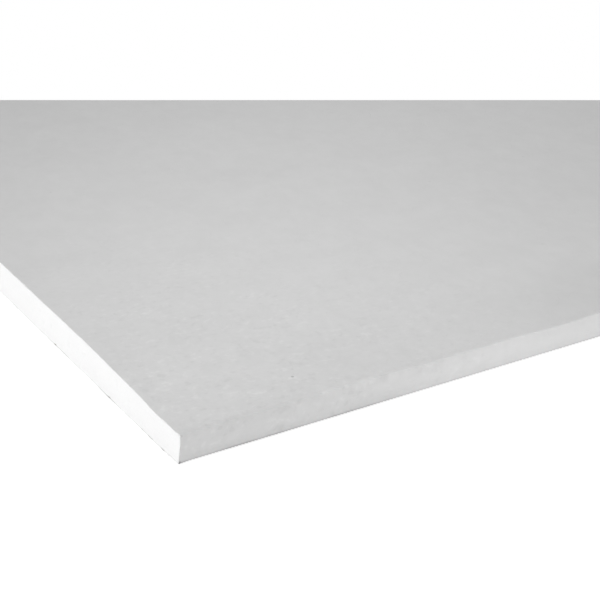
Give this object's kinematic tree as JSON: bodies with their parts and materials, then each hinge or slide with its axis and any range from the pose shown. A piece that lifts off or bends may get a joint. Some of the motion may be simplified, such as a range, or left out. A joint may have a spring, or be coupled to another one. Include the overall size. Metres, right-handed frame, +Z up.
{
  "type": "drywall sheet",
  "caption": "Flat wall and ceiling lining sheet: white gypsum core between papers, with tapered paper-wrapped long edges and bare cut ends.",
  "frame": {"origin": "under the middle of the sheet, on the floor that its back lies on", "axes": "+X along the sheet's length, +Y across its width, +Z up out of its face"},
  "size_m": [2.4384, 1.2192, 0.0127],
  "materials": {
    "gypsum": "matte",
    "face_paper": "matte",
    "back_paper": "matte"
  },
  "bodies": {
    "root": {"gypsum_core": "gypsum", "face_paper": "face_paper", "back_paper": "back_paper"}
  },
  "joints": []
}
